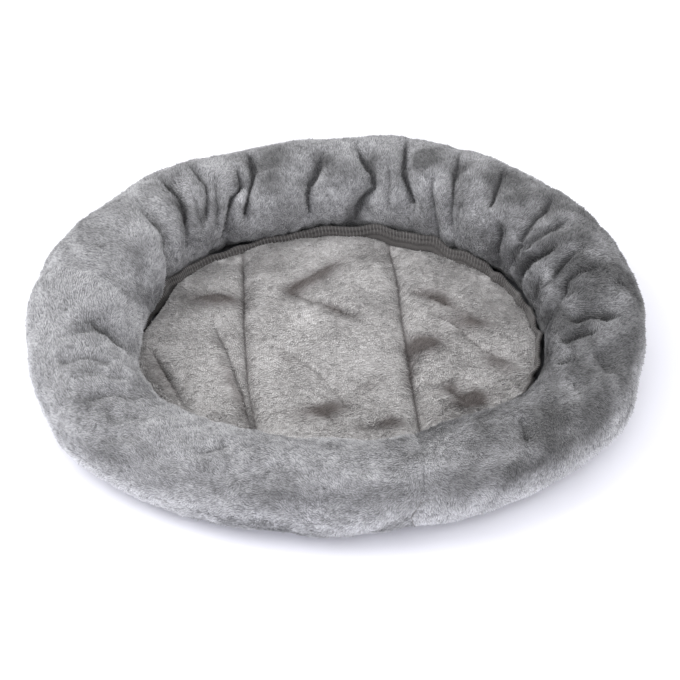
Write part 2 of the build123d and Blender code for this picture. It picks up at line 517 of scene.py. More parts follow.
def fold_depth(places):
    """At unrolled places, how far the gathers draw the cloth in, and how near a crease is."""
    depth = np.zeros(len(places))
    crease = np.zeros(len(places))
    for deep, broad, corners in FOLDS:
        degrees = np.radians(np.array(corners, float))
        path = unrolled(degrees[:, 0], degrees[:, 1])
        path[:, 0] += lap * np.round((path[0, 0] - path[:, 0]) / lap)
        for shift in (-lap, 0, lap):
            near = np.abs(places[:, 0] - path[:, 0].mean() - shift) < 0.12
            if not near.any():
                continue
            gap, along = distance_to_path(places[near], path + [shift, 0])
            held = 0.85 if corners[-1][1] > 140 else 0.0
            fade = np.clip(np.minimum(along * 3.6, (1 - along) * 4.0 + held), 0, 1)
            fade = fade * fade * (3 - 2 * fade)
            reaches_seam = corners[-1][1] > 112 or corners[0][1] > 112
            share = 1 if reaches_seam else 0.6
            groove = share * deep / 1000 * fade * np.exp(-gap / (broad / 1000 / share))
            mixed = np.maximum(depth[near], groove) + 0.35 * np.minimum(depth[near], groove)
            depth[near] = mixed
            line = fade * min(deep / 13, 1.3) * np.exp(-gap / 0.0021)
            line *= 1 if reaches_seam else 0.35
            crease[near] = np.maximum(crease[near], line)
    return depth, crease


def seam_heading(around, turns):
    """The heading of a cross seam, which leans a little, at an angle round the tube."""
    angles, values = zip(*turns)
    return np.radians(np.interp(np.degrees(around), angles, values))


LEFT_SEAM = [(0, 168), (50, 169), (90, 173), (130, 180), (200, 182), (300, 172), (360, 168)]
FRONT_SEAM = [(0, 282), (30, 284), (95, 286), (180, 288), (280, 284), (360, 282)]


def seam_gap(places, turns):
    """How far unrolled places lie from a cross seam, along the strip."""
    around = places[:, 1] / TUBE_RADIUS
    line = np.interp(seam_heading(around, turns), headings, travels)
    return places[:, 0] - line


FOLD_GAIN = 1.5
FOLD_LIMIT = 0.031  # no fold goes deeper, so that it stays clear of the filling


def seam_gathers(places, gap):
    """Small puckers that run up from the band and soon fade."""
    wave = smooth_random(places[:, :1], 0.009, 8)
    return 0.0024 * np.clip(wave, 0, 2) * np.exp(-np.clip(-gap, 0, 1) / 0.022) * (gap < 0.010)


def draw_in(mesh, share):
    """Sinks the folds and the two cross seams by this share of their depth."""
    flat = read_flat(mesh)
    places = flat * [lap, 2 * math.pi * TUBE_RADIUS]
    depth = FOLD_LIMIT * np.tanh(FOLD_GAIN * fold_depth(places)[0] / FOLD_LIMIT)
    for turns in (LEFT_SEAM, FRONT_SEAM):
        gap = np.abs(seam_gap(places, turns))
        depth += 0.0018 * np.exp(-gap / 0.005)
    heading = np.interp(places[:, 0], travels, headings)
    gap = places[:, 1] - seam_angle(heading) * TUBE_RADIUS
    depth = np.maximum(depth * (1 - 0.8 * np.exp(-(gap / 0.009)**2)), 0) + seam_gathers(places, gap)
    depth += seam_tuck(heading) * np.exp(-(gap / 0.012)**2)
    points = get_points(mesh) - get_normals(mesh) * (depth * share)[:, None]
    set_points(mesh, points)
    return depth


depth = draw_in(ring_mesh, 1.0)
print("deepest fold", round(depth.max() * 1000, 1), "mm")

# %% [markdown]
# ## Stuffing
# The folded ring is blown up with a cloth simulation, as polyester filling would do it, and the
# result becomes the mesh. The gathered edge by the base is held. How far a point may move is
# capped, so that the ring keeps its size.


# %% Inflate, then subdivide
def inflate(obj, pressure, cap, held):
    """Cloth under pressure for twenty frames. Held points stay, the rest move up to the cap."""
    before = get_points(obj.data)
    group = obj.vertex_groups.new(name="held")
    group.add([int(i) for i in np.nonzero(held)[0]], 1.0, "REPLACE")
    cloth = obj.modifiers.new("stuffing", "CLOTH")
    cloth.settings.use_pressure = True
    cloth.settings.uniform_pressure_force = pressure
    cloth.settings.effector_weights.gravity = 0
    cloth.settings.vertex_group_mass = "held"
    for step in range(1, 21):
        scene.frame_set(step)
    graph = bpy.context.evaluated_depsgraph_get()
    swollen = obj.evaluated_get(graph).to_mesh()
    moves = get_points(swollen) - before
    obj.evaluated_get(graph).to_mesh_clear()
    obj.modifiers.remove(cloth)
    obj.vertex_groups.clear()
    scene.frame_set(1)
    length = np.linalg.norm(moves, axis=1)
    print("stuffing moved points by", round(length.mean() * 1000, 1), "mm, at most",
          round(length.max() * 1000, 1), "mm")
    moves *= np.minimum(1, cap / np.maximum(length, 1e-9))[:, None]
    set_points(obj.data, before + moves)


def subdivided(obj, levels):
    """Smooths an object's mesh with a subdivision surface, and applies it."""
    modifier = obj.modifiers.new("smooth", "SUBSURF")
    modifier.levels = levels
    modifier.render_levels = levels
    modifier.uv_smooth = "NONE"
    graph = bpy.context.evaluated_depsgraph_get()
    mesh = bpy.data.meshes.new_from_object(obj.evaluated_get(graph))
    obj.modifiers.clear()
    obj.data = mesh
    return mesh


ring = add_object("bolster_ring", ring_mesh)
flat = read_flat(ring_mesh)
low = np.abs(flat[:, 1] - 0.60) < 0.05  # the gathered edge
inflate(ring, 4, 0.005, low)
coarse_points = get_points(ring_mesh)
ring_mesh = subdivided(ring, 2)
print("fine ring", len(ring_mesh.polygons), "faces")

# %% [markdown]
# ## Uneven stuffing
# Loose fibre lies in lumps, and a fold has a fine sharp line at its bottom. Both are too small
# for the coarse simulated mesh, so they are added to the fine one, along its normals.

# %% Uneven stuffing
flat = read_flat(ring_mesh)
places = flat * [lap, 2 * math.pi * TUBE_RADIUS]
points = get_points(ring_mesh)
normals = get_normals(ring_mesh)
crease = fold_depth(places)[1]
lumps = 0.0014 * smooth_random(points, 0.045, 3) + 0.0005 * smooth_random(points, 0.014, 4)
points += normals * (lumps - 0.0050 * crease)[:, None]
points[:, 2] = np.maximum(points[:, 2], FLOOR_PLY)
set_points(ring_mesh, points)

# %% [markdown]
# ## Pile
# Plush is a knitted backing with thousands of soft tufts. Hair made of particles would not go
# with the part to other programs, so each small square of cloth is poked, and its new middle
# point is drawn out into one leaning tuft. Neighbouring tufts lie nearly the same way, in
# patches, because the pile has been brushed about by hands and paws.


# %% Grow the pile
PILE_LENGTH = 0.0030  # sheared plush, and it lies over at about sixty degrees


def grow_pile(mesh, length, lean, nap, seed, bare=None, mixed=0.20):
    """Pokes each face into a leaning tuft. Nap gives, for places and normals, the unit
    direction in which the tufts lie, and lean is the angle from upright, both per face."""
    faces = len(mesh.polygons)
    centres = read_array(mesh.polygons, "center", 3).astype(float)
    up = face_normals(mesh)
    bm = bmesh.new()
    bm.from_mesh(mesh)
    roots = len(bm.verts)
    bmesh.ops.poke(bm, faces=bm.faces[:], center_mode="MEAN")
    bm.to_mesh(mesh)
    bm.free()
    rng = np.random.default_rng(seed)
    tall = length * (1 + 0.18 * rng.standard_normal(faces) + 0.14 * smooth_random(centres, 0.005, seed))
    if bare is not None:
        tall = tall * (1 - bare)
    clumps = smooth_random(centres, 0.0028, seed + 2)
    angle = lean + 0.18 * rng.standard_normal(faces) + 0.5 * mixed * clumps
    side = np.cross(up, nap)
    swing = 0.22 * rng.standard_normal(faces) + 0.24 * smooth_random(centres, 0.008, seed + 1)
    lay = nap * np.cos(swing)[:, None] + side * np.sin(swing)[:, None]
    tips = centres + tall[:, None] * (up * np.cos(angle)[:, None] + lay * np.sin(angle)[:, None])
    tips[:, 2] = np.maximum(tips[:, 2], 0.0004)
    points = get_points(mesh)
    points[roots:] = tips
    set_points(mesh, points)
    # The pile value runs from 0 at the roots to about 0.8 at the tips. The material uses it to paint the
    # roots darker, as painted shade deep in the pile, and its random spread is tone from tuft to tuft.
    pile = np.zeros(len(points), np.float32)
    pile[roots:] = np.clip(0.80 + mixed * rng.standard_normal(faces) + 0.4 * mixed * clumps, 0.10, 1)
    mesh.attributes.new("pile", "FLOAT", "POINT").data.foreach_set("value", pile)
    return roots


def along_surface(directions, up):
    """Directions turned into the surface, as unit vectors."""
    flat = directions - up * (directions * up).sum(axis=1)[:, None]
    return flat / np.maximum(np.linalg.norm(flat, axis=1), 1e-6)[:, None]


# %% [markdown]
# ## Two strips of cloth
# The real cover is two strips joined at the left end and at the front right. The fine mesh is cut
# at the same two seams, so that each strip is its own piece with its own lie of the pile.

# %% Cut the ring into its two strips
# Painted shade by heading: the ring is painted darker at the back and right, standing in for the nap's
# sheen there and the dimmer light.
PAINTED_SHADE_BY_HEADING = [  # heading and how dark the nap lies there, from 0 to 1
    (0, 0.78), (35, 0.72), (60, 0.54), (85, 0.42), (100, 0.42), (125, 0.47), (150, 0.40), (172, 0.29),
    (200, 0.34), (225, 0.37), (250, 0.34), (270, 0.33), (283, 0.40), (292, 0.54), (315, 0.68), (340, 0.76),
]


def by_heading(heading, table):
    """A smooth periodic value from a short table of headings in degrees."""
    angles, values = np.array(table, float).T
    degrees = np.degrees(heading) % 360
    return np.interp(degrees, np.concatenate([angles, [angles[0] + 360]]),
                     np.concatenate([values, [values[0]]]))


def strip(name, keep):
    """A piece of the ring: the faces to keep, still open at its two cut ends."""
    bm = bmesh.new()
    bm.from_mesh(ring_mesh)
    bm.faces.ensure_lookup_table()
    drop = [bm.faces[i] for i in np.nonzero(~keep)[0]]
    bmesh.ops.delete(bm, geom=drop, context="FACES")
    return new_mesh(name, bm)


def cap_ends(mesh):
    """Closes the two cut ends of a strip, with its faces outward."""
    bm = bmesh.new()
    bm.from_mesh(mesh)
    edges = [edge for edge in bm.edges if edge.is_boundary]
    bmesh.ops.holes_fill(bm, edges=edges, sides=0)
    bmesh.ops.recalc_face_normals(bm, faces=bm.faces)
    bm.to_mesh(mesh)
    bm.free()


uv = read_array(ring_mesh.uv_layers["OFBake"].uv, "vector", 2)
face_uv = uv.reshape(-1, 4, 2).mean(axis=1)
face_places = face_uv * [lap, 2 * math.pi * TUBE_RADIUS]
past_left = seam_gap(face_places, LEFT_SEAM) > 0
past_front = seam_gap(face_places, FRONT_SEAM) > 0
in_front = past_left & ~past_front
print("front strip", int(in_front.sum()), "faces; back strip", int((~in_front).sum()))

# %% [markdown]
# ## The nap on the strips
# Brushed pile looks dark or light by the way it leans against the light. That sheen is painted on the
# mesh as a shade for each tuft, since real tufts that small could not be bent one by one, together with
# painted shade in the creases and on the dimmer sides, and painted light on the low outer side.

# %% Pile on both strips
# Patches of painted shade on the ring, where the brushed nap would look darker.
RING_SHADE_PATCHES = [  # heading, angle round the tube, breadth in mm, how much darker
    (309, 65, 26, 0.45), (338, 60, 16, 0.4), (236, 62, 15, 0.3), (219, 65, 13, 0.3),
    (248, 60, 14, 0.3), (262, 35, 18, 0.25), (230, 20, 16, 0.3), (300, 20, 18, 0.3),
    (208, 80, 14, 0.25), (195, 100, 16, 0.2), (160, 95, 18, 0.2), (104, 92, 18, 0.80),
    (106, 128, 13, 0.50), (92.5, 105, 13, 0.85), (82.5, 102, 10, 0.90), (71, 96, 14, 0.80),
    (63, 92, 10, 0.60), (55, 88, 14, 0.55), (46, 103, 13, 0.50), (127, 112, 9, 0.45),
    (121, 95, 7, 0.40), (113.5, 108, 7, 0.50), (140, 120, 9, 0.35),
    (38, 80, 14, 0.45), (24, 85, 12, 0.40), (14, 98, 12, 0.40), (0, 100, 13, 0.40), (350, 96, 12, 0.35),
    (330, 95, 12, 0.35), (322, 60, 14, 0.4), (345, 50, 14, 0.4), (8, 60, 14, 0.4), (28, 50, 14, 0.3),
    (16, 145, 15, -0.35), (6, 78, 20, 0.2),
]


def patch_shade(places):
    """Patches of painted shade where a hand has brushed the pile the other way, standing in for the darker
    sheen of reversed nap; a negative entry paints a lighter patch.
    """
    shade = np.zeros(len(places))
    for turn, angle, breadth, dark in RING_SHADE_PATCHES:
        spot = unrolled(math.radians(turn), math.radians(angle))
        reach = (places - spot) * 1000 / breadth
        reach[:, 0] = (reach[:, 0] + lap * 500 / breadth) % (lap * 1000 / breadth) - lap * 500 / breadth
        shade += dark * np.exp(-(reach**2).sum(axis=1))
    return shade


def corner_shade(mesh, shade, roots):
    """Gives the roots the mean shade of the tufts round them, and stores it."""
    edges = read_array(mesh.edges, "vertices", 2, np.int64)
    tufts = edges[(edges[:, 1] >= roots) & (edges[:, 0] < roots)]
    total = np.bincount(tufts[:, 0], shade[tufts[:, 1]], len(shade))
    count = np.bincount(tufts[:, 0], minlength=len(shade))
    own = count > 0
    shade[own] = total[own] / count[own]
    mesh.attributes.new("shade", "FLOAT", "POINT").data.foreach_set("value", shade.astype(np.float32))


def grow_strip(name, keep, along_ring):
    """One strip of the cover. Its pile lies along the ring, or down the tube."""
    mesh = strip(name, keep)
    places = face_uv[keep] * [lap, 2 * math.pi * TUBE_RADIUS]
    heading = np.interp(places[:, 0] % lap, travels, headings)
    around = places[:, 1] / TUBE_RADIUS
    up = face_normals(mesh)
    ring_way = along_surface(np.stack([np.sin(heading), -np.cos(heading), 0 * heading], -1), up)
    tube_way = np.cross(up, ring_way)
    wander = 0.40 * smooth_random(places, 0.060, 11) + 0.22 * smooth_random(places, 0.020, 12)
    turn = wander + (0 if along_ring else math.pi / 2)
    nap = ring_way * np.cos(turn)[:, None] + tube_way * np.sin(turn)[:, None]
    lean = 1.08 + 0.06 * smooth_random(places, 0.030, 13)
    crease = fold_depth(places)[1]
    # Painted shade: darker by heading and in the brushed patches.
    dark = by_heading(heading, PAINTED_SHADE_BY_HEADING) + patch_shade(places)
    rough = 0.04 if along_ring else 0.11
    # Painted light: the low outer side of the tube is made lighter, as if lit by light bounced up from the
    # floor.
    dark *= 1 - 0.85 * np.exp(-(((np.degrees(around) + 15 + 180) % 360 - 180) / 32)**2)
    # Painted shade: a darker band round the upper outer side of the tube, towards the front and right.
    shoulder_shade = np.exp(-((np.degrees(around) - 38) / 16)**2)
    dark += 0.22 * shoulder_shade * np.clip(-np.sin(heading - 0.5), 0, 1)
    # The painted shade is lifted on the lower inner wall at the back.
    lower = np.exp(-((np.degrees(around) - 168) / 26)**2)
    dark -= 0.30 * lower * np.exp(-((np.degrees(heading) - 88) / 34)**2)
    dark += rough * smooth_random(places, 0.026, 14) + 0.05 * smooth_random(places, 0.009, 15)
    # Painted shade in the fold creases and in the crevice along the seam at the bottom of the wall; the
    # same mask also shortens the pile there.
    gap = (around - seam_angle(heading)) * TUBE_RADIUS
    hidden = np.maximum(crease, 0.9 * np.exp(-(gap / 0.006)**2))
    dark += 1.0 * hidden
    roots = grow_pile(mesh, PILE_LENGTH, lean, nap, 21 + along_ring, 0.6 * np.clip(hidden, 0, 1))
    cap_ends(mesh)
    shade = np.zeros(len(mesh.vertices), np.float32)
    shade[roots:roots + len(dark)] = np.clip(dark, 0, 1)
    corner_shade(mesh, shade, roots)
    obj = add_object(name, mesh)
    return obj


cover_front = grow_strip("bolster_cover_plush_front", in_front, True)
cover_back = grow_strip("bolster_cover_plush_back", ~in_front, False)
for piece, node in ((cover_front, "bolster_cover_front"), (cover_back, "bolster_cover_back")):
    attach(piece, "root")
    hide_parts(node)
    print(piece.name, len(piece.data.polygons), "faces")
bpy.data.objects.remove(ring)

# %% [markdown]
# ## The filling of the ring
# Polyester fibre fills the ring. It is hidden, so a plain copy of the stuffed tube is enough,
# shrunk towards the middle so that no fold cuts into it.

# %% The filling of the ring
FILLING_SHARE = 0.58  # its size beside the cover's, clear of the deepest fold
filling_mesh = spun_ring("bolster_filling")
heading = heading_and_offset(coarse_points[:, :2])[0]
out = np.stack([np.cos(heading), np.sin(heading)], -1)
centre, radius = oval_centres(out)
middle = centre + out * (radius + body_centre(heading))[:, None]
middle = np.concatenate([middle, (body_top(heading) + FLOOR_PLY)[:, None] / 2], -1)
set_points(filling_mesh, middle + (coarse_points - middle) * FILLING_SHARE)
filling = add_object("bolster_stuffing", filling_mesh)
subdivided(filling, 1)
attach(filling, "root")
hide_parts("bolster_filling")

# %% [markdown]
# ## The quilted base
# The base is two layers of cloth with filling between, sewn through along two lines, so it has
# three low pillows. A grid is pressed into the oval, which gives square cells nearly everywhere.
# Its height comes from how far each point is from the seams, the creases and the edge.

# %% Grid into oval
BASE_STEPS = 256


def edge_gap(plan):
    """How far inside the base's edge places in plan are."""
    heading, offset = heading_and_offset(plan)
    return -edge_inset(heading) - offset


def oval_reach(direction, gap, inset):
    """How far the gap's line, moved in by the inset, is from the centre in each direction."""
    low = np.zeros(len(direction))
    high = np.full(len(direction), 0.4)
    for _ in range(30):
        middle = (low + high) / 2
        spot = np.stack([np.cos(direction), np.sin(direction)], -1) * middle[:, None]
        outside = gap(spot) < inset
        high = np.where(outside, middle, high)
        low = np.where(outside, low, middle)
    return (low + high) / 2


def oval_grid(name, steps, gap, inset):
    """A square grid of cells pressed into the oval where the gap is the inset, facing up."""
    bm = bmesh.new()
    bmesh.ops.create_grid(bm, x_segments=steps, y_segments=steps, size=1)
    mesh = new_mesh(name, bm)
    square = get_points(mesh)
    x = square[:, 0] * np.sqrt(1 - square[:, 1]**2 / 2)
    y = square[:, 1] * np.sqrt(1 - square[:, 0]**2 / 2)
    direction = np.arctan2(y, x)
    reach = oval_reach(direction, gap, inset) * np.hypot(x, y)
    flat = np.stack([np.cos(direction) * reach, np.sin(direction) * reach, 0 * x], -1)
    set_points(mesh, flat)
    return mesh


base_mesh = oval_grid("base_top_cover", BASE_STEPS, edge_gap, 0)
print("base", len(base_mesh.polygons), "faces")

# %% [markdown]
# ## Seams, creases and height
# Quilting pulls the cloth down along two lines, and use leaves creases between them. Each is a
# short broken line, and the distance to it gives the height, which keeps the slopes smooth.

# %% Seams, creases and height
QUILT_LINES = [
    np.array([(-0.0985, 0.175), (-0.097, 0.148), (-0.0935, 0.090), (-0.0915, 0.033), (-0.085, -0.050),
              (-0.072, -0.132), (-0.068, -0.175)]),
    np.array([(0.0535, 0.175), (0.0545, 0.145), (0.0605, 0.106), (0.0655, 0.032), (0.072, -0.050),
              (0.0805, -0.132), (0.083, -0.175)]),
]
CREASES = [  # depth and breadth in mm, then places in metres
    (4.5, 9, [(-0.054, 0.070), (-0.020, 0.105), (0.011, 0.129)]),
    (4.0, 6, [(-0.060, 0.080), (-0.015, 0.058), (0.021, 0.035)]),
    (2.5, 3, [(-0.062, 0.003), (-0.018, -0.039), (0.000, -0.070), (0.015, -0.100)]),
    (6.0, 7, [(-0.184, 0.000), (-0.165, -0.040), (-0.140, -0.094)]),
    (3.5, 6, [(0.070, 0.083), (0.105, 0.060), (0.1345, 0.039)]),
    (3.5, 6, [(0.088, 0.050), (0.120, 0.020), (0.142, -0.011), (0.1745, -0.032)]),
    (3.0, 5, [(0.076, -0.050), (0.095, -0.055), (0.114, -0.046)]),
    (6.5, 6, [(-0.128, 0.046), (-0.106, -0.010), (-0.092, -0.060), (-0.078, -0.125)]),
    (3.0, 8, [(0.100, -0.060), (0.125, -0.085), (0.150, -0.080)]),
    (2.5, 8, [(-0.030, -0.085), (0.005, -0.112), (0.045, -0.118)]),
    (2.5, 7, [(-0.150, 0.060), (-0.125, 0.070), (-0.100, 0.060)]),
]


def quilt_gap(plan):
    """How far places in plan are from the nearer quilting seam."""
    left, right = [distance_to_path(plan, line)[0] for line in QUILT_LINES]
    return np.minimum(np.minimum(1.0, left), right)


def base_height(plan):
    """The height of the quilted base at places in plan."""
    edge = edge_gap(plan)
    seam = quilt_gap(plan)
    pillow = 1 - np.exp(-seam / 0.010) * np.clip(edge / 0.014, 0.3, 1)
    rim = np.clip(edge / 0.016, 0, 1)
    rim = np.sqrt(1 - (1 - rim)**2)
    height = 0.0042 + 0.0128 * pillow
    for deep, broad, corners in CREASES:
        gap, along = distance_to_path(plan, np.array(corners))
        fade = np.clip(np.minimum(along, 1 - along) * 5, 0, 1)
        height -= 1.25 * deep / 1000 * fade * np.exp(-gap / (broad / 1000))
    height += (0.0012 * smooth_random(plan, 0.055, 31) + 0.0006 * smooth_random(plan, 0.018, 32)) * pillow
    return FLOOR_PLY + np.maximum(height - 0.0014, 0.002) * (0.72 + 0.28 * rim)


points = get_points(base_mesh)
points[:, 2] = base_height(points[:, :2])
set_points(base_mesh, points)
lowest, highest = points[:, 2].min(), points[:, 2].max()
print("base from", round(lowest * 1000, 1), "to", round(highest * 1000, 1), "mm high")


# %% [markdown]
# ## The pile of the base
# The base has the same plush in a warmer gray. It lies smooth, apart from patches that were
# brushed the other way. A flat face below closes the cover round its filling.

# %% Pile of the base, then its closed underside
def close_below(mesh, bottom):
    """Closes a sheet into a cushion: its edge goes straight down, and a face shuts it."""
    bm = bmesh.new()
    bm.from_mesh(mesh)
    edges = [edge for edge in bm.edges if edge.is_boundary]
    made = bmesh.ops.extrude_edge_only(bm, edges=edges)["geom"]
    for vert in made:
        if isinstance(vert, bmesh.types.BMVert):
            vert.co.z = bottom
    rim = [edge for edge in made if isinstance(edge, bmesh.types.BMEdge)]
    bmesh.ops.holes_fill(bm, edges=[edge for edge in rim if edge.is_boundary], sides=0)
    bmesh.ops.recalc_face_normals(bm, faces=bm.faces)
    bm.to_mesh(mesh)
    bm.free()


# Brushed patches: the nap is turned there, and the darker column is painted shade for the sheen of the
# reversed nap.
BASE_BRUSH_AND_SHADE_PATCHES = [  # place in metres, breadths in mm along its line and across it, turn, darker
    (-0.020, 0.098, 34, 11, 46, 0.70), (-0.045, 0.082, 16, 11, 40, 0.45),
    (0.084, -0.004, 14, 19, 80, 0.8), (0.125, -0.080, 20, 12, 30, 0.8),
    (0.108, -0.062, 12, 9, 60, 0.5), (-0.013, -0.094, 28, 12, 20, 0.75),
    (0.048, -0.113, 18, 9, 10, 0.6), (-0.122, 0.062, 28, 12, 2, 0.75),
    (0.130, 0.030, 13, 22, 70, 0.6), (0.100, 0.066, 22, 10, -32, 0.55),
    (-0.168, -0.045, 28, 9, -62, 0.45), (-0.100, -0.060, 44, 7, -72, 0.5),
    (0.000, 0.046, 26, 7, -28, 0.45), (0.155, -0.030, 18, 11, -40, 0.5), (0.030, -0.060, 16, 10, 30, 0.3),
    (-0.050, -0.020, 18, 7, -35, 0.3), (0.070, -0.040, 30, 6, 80, 0.3),
]
flat_xy = get_points(base_mesh)[:, :2]
spans = np.ptp(flat_xy, axis=0)
share = (flat_xy - flat_xy.min(axis=0)) / spans * 0.98 + 0.01
corners = loop_vertices(base_mesh)
base_mesh.uv_layers.new(name="OFBake").uv.foreach_set("vector", share[corners].astype(np.float32).ravel())
quads = corners.reshape(-1, 4)
plan = flat_xy[quads].mean(axis=1)
up = face_normals(base_mesh)
dark = np.zeros(len(plan))
# Painted shade over the brushed patches; the nap is turned there as well, just below.
for x, y, long, short, turn, deep in BASE_BRUSH_AND_SHADE_PATCHES:
    c, s = math.cos(math.radians(turn)), math.sin(math.radians(turn))
    dx, dy = (plan[:, 0] - x) * 1000, (plan[:, 1] - y) * 1000
    dark += 1.5 * deep * np.exp(-((dx * c + dy * s) / long)**2 - ((dy * c - dx * s) / short)**2)
brushed = np.clip(dark, 0, 1)
wander = 0.30 * smooth_random(plan, 0.050, 41) + 0.25 * smooth_random(plan, 0.018, 42) + 2.4 * brushed
nap = along_surface(np.stack([np.sin(wander), -np.cos(wander), 0 * wander], -1), up)
lean = 1.0 + 0.08 * smooth_random(plan, 0.030, 43)
dark += 0.03 * smooth_random(plan, 0.025, 44) + 0.03 * smooth_random(plan, 0.009, 45)
seam = quilt_gap(plan)
edge = edge_gap(plan)
crease = np.zeros(len(plan))
for deep, broad, spots in CREASES:
    gap, along = distance_to_path(plan, np.array(spots))
    fade = np.clip(np.minimum(along, 1 - along) * 5, 0, 1)
    crease = np.maximum(crease, deep / 4.5 * fade * np.exp(-gap / 0.0022))
bare = 0.2 * np.clip(crease, 0, 1) + 0.75 * np.exp(-(seam / 0.0022)**2) + 0.4 * np.exp(-(edge / 0.004)**2)
# Painted shade: darker along the sunken quilting seams, in the creases, and towards the right, away from
# the key light.
dark += 0.8 * np.exp(-seam / 0.0022) + 0.42 * crease + 0.14 * np.clip(plan[:, 0] / 0.12, 0, 1)
roots = grow_pile(base_mesh, PILE_LENGTH, lean, nap, 51, bare, 0.12)
close_below(base_mesh, FLOOR_PLY)
shade = np.zeros(len(base_mesh.vertices), np.float32)
shade[roots:roots + len(dark)] = np.clip(dark, 0, 1)
corner_shade(base_mesh, shade, roots)
base_top = add_object("base_plush_top", base_mesh)
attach(base_top, "root")
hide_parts("base_top_cover")
print("base pile", len(base_mesh.polygons), "faces")


# %% [markdown]
# ## Filling pads
# Each channel holds a pad of fibre. The pads copy the height of the cover, a little lower, and
# are cut clear of the quilting seams, because no filling stays under a line of stitches.

# %% Filling pads of the base
def channel_pad(index):
    """The filling of one channel: the shape of the cover, a little smaller, cut at the seams."""
    bm = bmesh.new()
    bm.from_mesh(core_low)
    for side, x in enumerate((-0.0835, 0.0695)):  # where the two seams cross the middle of the bed
        if index == 1 or index == 2 * side:
            normal = Vector((math.cos(math.radians(5)), math.sin(math.radians(5)), 0))
            inward = 1 if (index == 0 and side == 0) or (index == 1 and side == 1) else -1
            plane = Vector((x, 0, 0)) - normal * 0.010 * inward
            geom = bm.verts[:] + bm.edges[:] + bm.faces[:]
            bmesh.ops.bisect_plane(bm, geom=geom, plane_co=plane, plane_no=normal * inward,
                                   clear_outer=True)
            rim = [edge for edge in bm.edges if edge.is_boundary]
            bmesh.ops.holes_fill(bm, edges=rim, sides=0)
    bmesh.ops.recalc_face_normals(bm, faces=bm.faces)
    return new_mesh("pad", bm)


core_low = oval_grid("core", 64, edge_gap, 0.006)
points = get_points(core_low)
points[:, 2] = 0.0022 + (base_height(points[:, :2]) - 0.0022) * 0.62
set_points(core_low, points)
close_below(core_low, 0.0019)
pads = []
for index, side in enumerate(("left", "centre", "right")):
    pad = add_object(f"base_fibre_pad_{side}", channel_pad(index))
    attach(pad, "root")
    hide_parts(f"base_filling_{side}")
    pads.append(pad)

# %% [markdown]
# ## The sewn edge between base and ring
# The raw edges of the base and of the ring's cover are overlocked together and stand up as a
# ribbed band. A small section is swept round the oval, lower at the front and higher at the
# back, and a thread winds over it in loops.

# %% Overlocked band
band_step = np.linspace(0, 2 * math.pi, 901)[:-1]
band_top = smooth_by_heading(band_step, 1, BAND)
band_lean = smooth_by_heading(band_step, 2, BAND) * math.radians(1000)

out = np.stack([np.cos(band_step), np.sin(band_step)], -1)
centre, radius = oval_centres(out)
band_wave = 0.0014 * np.sin(band_step * 23 + 1) + 0.0008 * np.sin(band_step * 41)
BAND_INSET = 0.0500  # how far inside the middle line the band stands
band_foot = centre + out * (radius - BAND_INSET + band_wave)[:, None]
crumple = 0.5 + 0.8 * np.exp(-((band_step - 0.6) / 0.6)**2)  # most at the back right
band_top = band_top + crumple * (0.0020 * np.sin(band_step * 27 + 2) + 0.0010 * np.sin(band_step * 47))


def swept_band(name, section):
    """A tube of the section, given as across and up in mm, bent round the oval."""
    bm = bmesh.new()
    for across, up in section:
        bm.verts.new((1 + across / 1000, 0, up / 1000))
    bm.verts.ensure_lookup_table()
    for i in range(len(section)):
        bm.edges.new((bm.verts[i - 1], bm.verts[i]))
    bmesh.ops.spin(bm, geom=bm.verts[:] + bm.edges[:], cent=(0, 0, 0), axis=(0, 0, 1),
                   angle=2 * math.pi, steps=len(band_step), use_merge=True)
    mesh = new_mesh(name, bm)
    points = get_points(mesh)
    turn = np.arctan2(points[:, 1], points[:, 0]) % (2 * math.pi)
    index = np.round(turn / (2 * math.pi) * len(band_step)).astype(int) % len(band_step)
    across = np.hypot(points[:, 0], points[:, 1]) - 1
    reach = points[:, 2] * np.sin(band_lean[index]) + across * np.cos(band_lean[index])
    plan = band_foot[index] + out[index] * reach[:, None]
    z = band_top[index] + points[:, 2] * np.cos(band_lean[index]) - across * np.sin(band_lean[index])
    z = np.maximum(z, 0.003)
    set_points(mesh, np.concatenate([plan, z[:, None]], -1))
    bm = bmesh.new()
    bm.from_mesh(mesh)
    bmesh.ops.recalc_face_normals(bm, faces=bm.faces)
    for face in bm.faces:
        face.smooth = True
    bm.to_mesh(mesh)
    bm.free()
    return mesh


BAND_SECTION = [(1.2, -17), (1.2, -1.2), (0.6, -0.1), (-0.7, -0.1), (-1.8, -1.0), (-2.0, -3.0),
                (-1.2, -4.6), (-0.6, -5.4), (-1.7, -6.2), (-2.3, -8.2), (-1.7, -10.2),
                (-0.6, -11.2), (-1.4, -12.4), (-1.6, -14.4), (-1.0, -17)]
band = add_object("overlocked_edge", swept_band("overlocked_edge", BAND_SECTION))
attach(band, "root")
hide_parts("seam_allowance")

# %% [markdown]
# ## The overlock thread
# An overlock machine winds thread over a raw edge so that it cannot fray. A line through the
# loop points of each turn is given a round section and then kept as a mesh.

# %% Thread over the band
THREAD_RADIUS = 0.00045


def thread_curve(name, runs, radius, closed):
    """A thread along each run of points, as one curve with a round section."""
    curve = bpy.data.curves.new(name, "CURVE")
    curve.dimensions = "3D"
    curve.bevel_depth = radius
    curve.bevel_resolution = 0
    curve.use_fill_caps = True
    for run in runs:
        spline = curve.splines.new("POLY")
        spline.points.add(len(run) - 1)
        flat = np.concatenate([run, np.ones((len(run), 1))], -1)
        spline.points.foreach_set("co", flat.astype(np.float32).ravel())
        spline.use_cyclic_u = closed
    line = add_object(name, curve)
    graph = bpy.context.evaluated_depsgraph_get()
    mesh = bpy.data.meshes.new_from_object(line.evaluated_get(graph))
    bpy.data.objects.remove(line)
    obj = add_object(name, mesh)
    return obj


